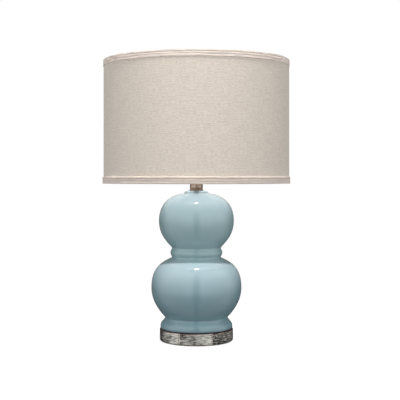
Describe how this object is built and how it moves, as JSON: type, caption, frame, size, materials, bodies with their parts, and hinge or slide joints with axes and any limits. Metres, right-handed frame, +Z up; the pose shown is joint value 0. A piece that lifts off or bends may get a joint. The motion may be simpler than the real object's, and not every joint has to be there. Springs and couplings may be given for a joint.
{
  "type": "table lamp",
  "caption": "Table lamp with a double gourd body of glazed ceramic on a silver-leafed disc base, under a linen drum shade carried by a harp.",
  "frame": {"origin": "on the surface that the lamp stands on, under the centre of its base", "axes": "+Z up, -Y the front with the switch knob, +Y the back with the cord outlet"},
  "size_m": [0.381, 0.381, 0.5839],
  "materials": {
    "silver_leaf": "antiqued silver leaf over turned wood",
    "bumper": "dark soft bumper",
    "gasket": "thin dark brown ring",
    "glaze": "pale blue glossy glaze over white ceramic",
    "grommet": "white moulded plastic",
    "steel": "zinc plated steel",
    "nickel": "antiqued silver plate with a warm tint",
    "card": "fibre liner",
    "phenolic": "black moulded phenolic",
    "brass": "plain brass",
    "knob_plastic": "black moulded plastic",
    "shaft": "turned steel",
    "bulb_glass": "frosted white glass",
    "bulb_metal": "plain aluminium",
    "wire": "painted white steel wire",
    "styrene": "white styrene backing",
    "linen": "oatmeal slub linen"
  },
  "bodies": {
    "stand": {"base_disc": "silver_leaf", "base_bumpers": "bumper", "seating_gasket": "gasket", "ceramic_vase": "glaze", "cord_bushing": "grommet", "lamp_pipe": "steel", "base_washer": "steel", "lock_washer": "steel", "base_nut": "steel", "neck": "nickel", "harp_saddle": "nickel", "socket_cap": "nickel", "cap_set_screw": "steel", "socket_shell": "nickel", "shell_insulator": "card", "socket_body": "phenolic", "terminal_screws": "steel", "screw_shell": "brass", "centre_contact": "brass"},
    "knob": {"switch_shaft": "shaft", "switch_knob": "knob_plastic"},
    "bulb": {"bulb_glass": "bulb_glass", "bulb_cap": "bulb_metal", "bulb_contact": "brass"},
    "harp": {"harp": "nickel"},
    "left_ferrule": {"ferrule_left": "nickel"},
    "right_ferrule": {"ferrule_right": "nickel"},
    "swivel": {"harp_stud": "nickel"},
    "shade": {"spider_frame": "wire", "bottom_ring": "wire", "shade_liner": "styrene", "shade_linen": "linen", "top_trim": "linen", "bottom_trim": "linen"},
    "finial": {"finial": "nickel"}
  },
  "joints": [
    {"name": "knob_turn", "type": "hinge", "parent": "stand", "child": "knob", "pos_m": [0, -0.024, 0.3582], "axis": [0, -1, 0], "continuous": true},
    {"name": "bulb_removal", "type": "slide", "parent": "stand", "child": "bulb", "axis": [0, 0, 1], "range_m": [0, 0.03]},
    {"name": "harp_lift", "type": "slide", "parent": "stand", "child": "harp", "axis": [0, 0, 1], "range_m": [0, 0.02]},
    {"name": "left_ferrule_lift", "type": "slide", "parent": "harp", "child": "left_ferrule", "axis": [0, 0, 1], "range_m": [0, 0.012]},
    {"name": "right_ferrule_lift", "type": "slide", "parent": "harp", "child": "right_ferrule", "axis": [0, 0, 1], "range_m": [0, 0.012]},
    {"name": "shade_swivel", "type": "hinge", "parent": "harp", "child": "swivel", "pos_m": [0, 0, 0.5518], "axis": [0, 0, 1], "continuous": true},
    {"name": "shade_lift", "type": "slide", "parent": "swivel", "child": "shade", "axis": [0, 0, 1], "range_m": [0, 0.26]},
    {"name": "finial_turn", "type": "hinge", "parent": "shade", "child": "finial", "pos_m": [0, 0, 0.5579], "axis": [0, 0, 1], "continuous": true}
  ]
}
